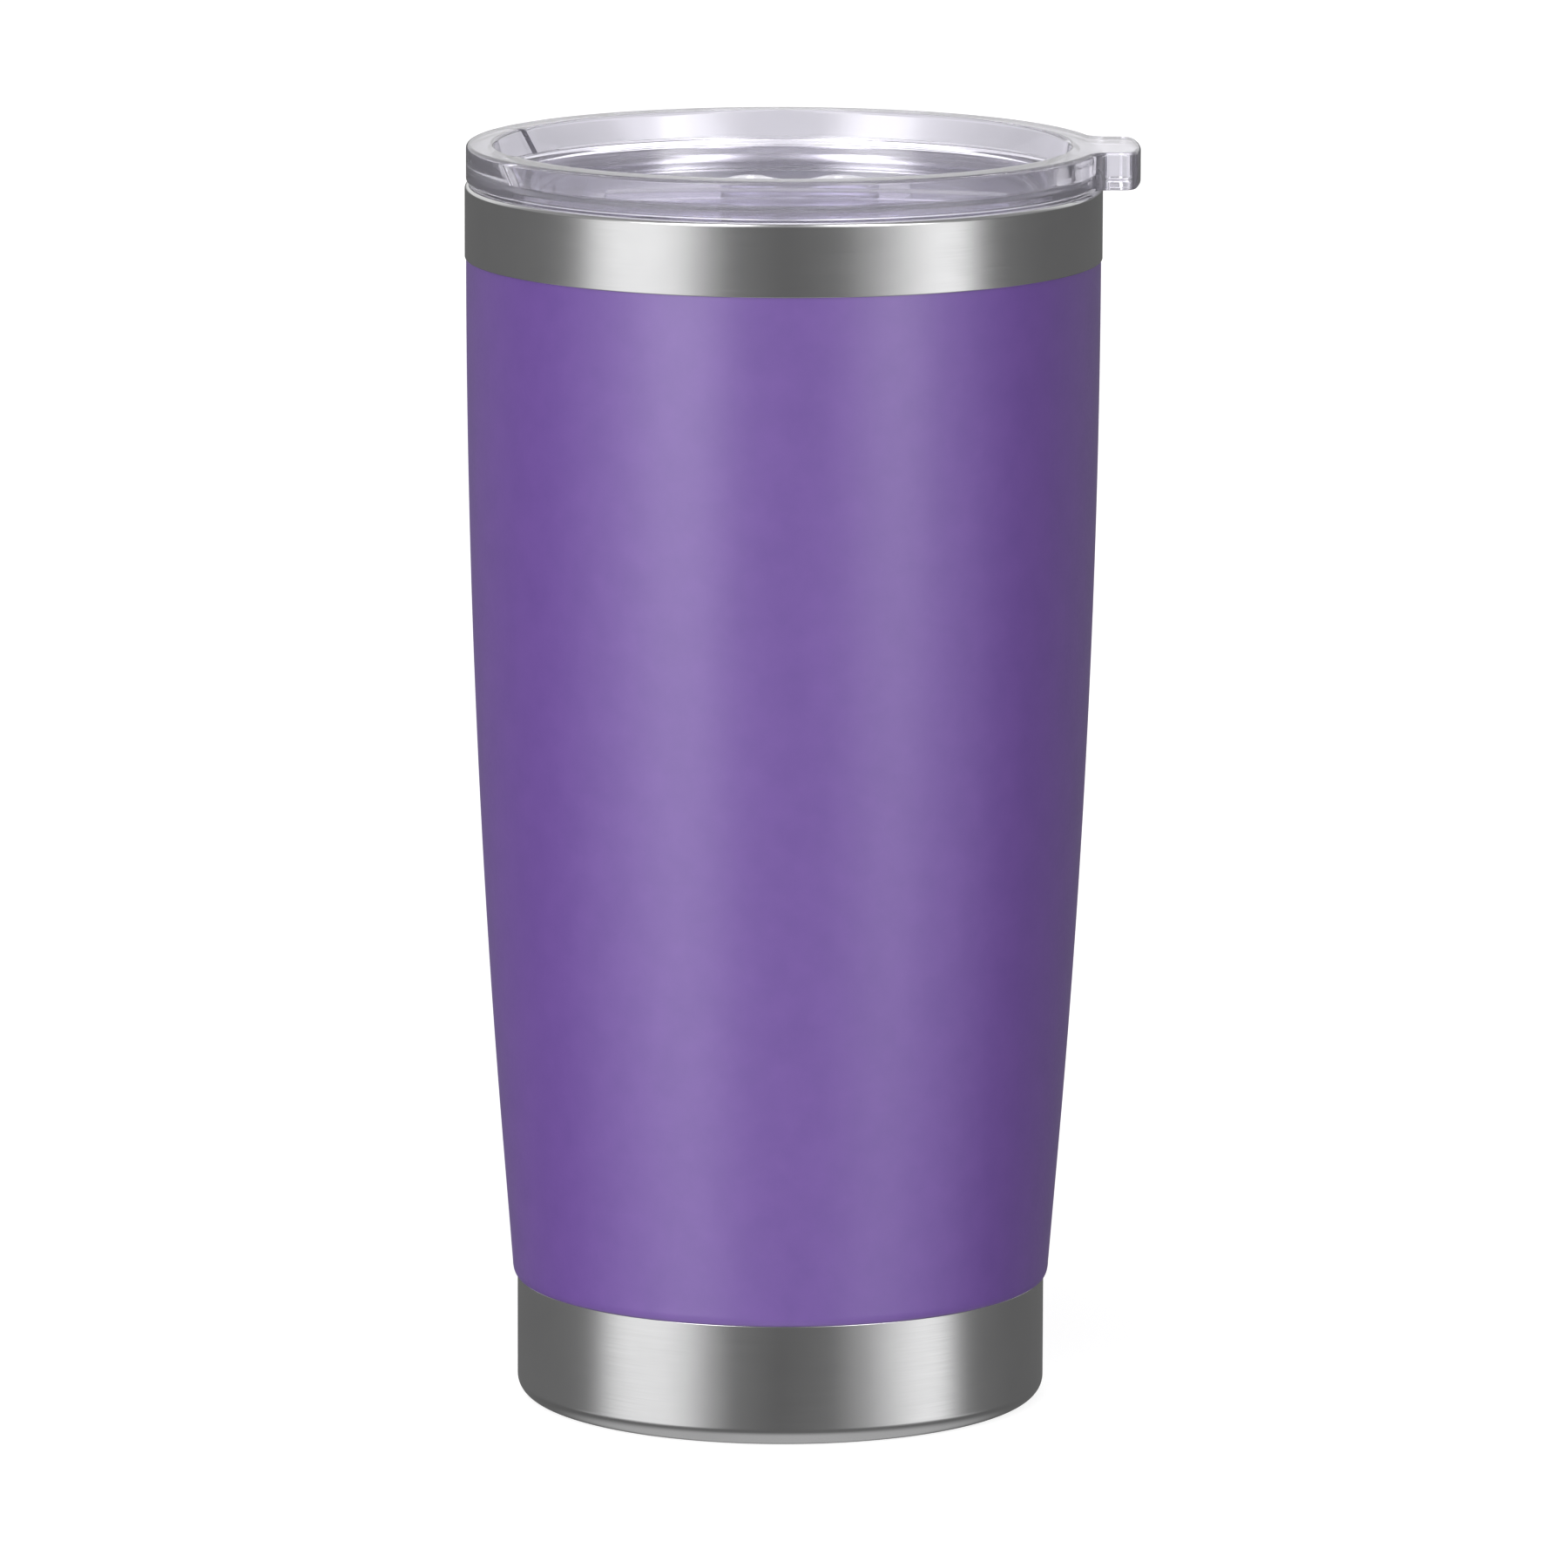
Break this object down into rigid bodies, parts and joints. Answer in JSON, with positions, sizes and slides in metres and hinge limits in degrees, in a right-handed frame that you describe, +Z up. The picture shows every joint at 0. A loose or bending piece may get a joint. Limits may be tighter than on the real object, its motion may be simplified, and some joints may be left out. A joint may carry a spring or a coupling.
{
  "type": "insulated tumbler",
  "caption": "Double-wall steel tumbler with a tapered painted wall, bare steel rim and base rings, and a clear press-in lid with a sliding closure and a finger tab.",
  "frame": {"origin": "centre of the foot ring's standing face, on the cup's axis", "axes": "+Z up along the cup's axis; +X towards the lid's finger tab; the sip hole is on the -X side; -Y is the front"},
  "size_m": [0.0921, 0.087, 0.1736],
  "materials": {
    "outer_shell": "satin, brushed round the cup, bare at the rim ring and the base ring",
    "powder_coat": "satin powder coat, a baked polymer, with a fine speckle",
    "inner_liner": "satin, brushed round the cup",
    "liner_bottom": "satin, spun",
    "reflective_foil": "bright foil",
    "outer_bottom": "plain rolled sheet",
    "getter_pellet": "pressed metal powder",
    "getter_clip": "plain strip",
    "seal_bead": "opaque solder glass",
    "base_cover": "satin, spun",
    "lid_body": "clear, polished, faint blue-violet tint",
    "lid_gasket": "translucent silicone",
    "slider": "clear, polished",
    "slider_retainer": "clear, polished"
  },
  "bodies": {
    "cup": {"outer_shell": "outer_shell", "powder_coat": "powder_coat", "inner_liner": "inner_liner", "liner_bottom": "liner_bottom", "reflective_foil": "reflective_foil", "outer_bottom": "outer_bottom", "getter_pellet": "getter_pellet", "getter_clip": "getter_clip", "seal_bead": "seal_bead", "base_cover": "base_cover"},
    "lid": {"lid_body": "lid_body", "lid_gasket": "lid_gasket"},
    "closure": {"slider": "slider", "slider_retainer": "slider_retainer"}
  },
  "joints": [
    {"name": "lid_lift", "type": "slide", "parent": "cup", "child": "lid", "axis": [0, 0, 1], "range_m": [0, 0.08]},
    {"name": "slider_slide", "type": "slide", "parent": "lid", "child": "closure", "axis": [1, 0, 0], "range_m": [0, 0.012]}
  ]
}
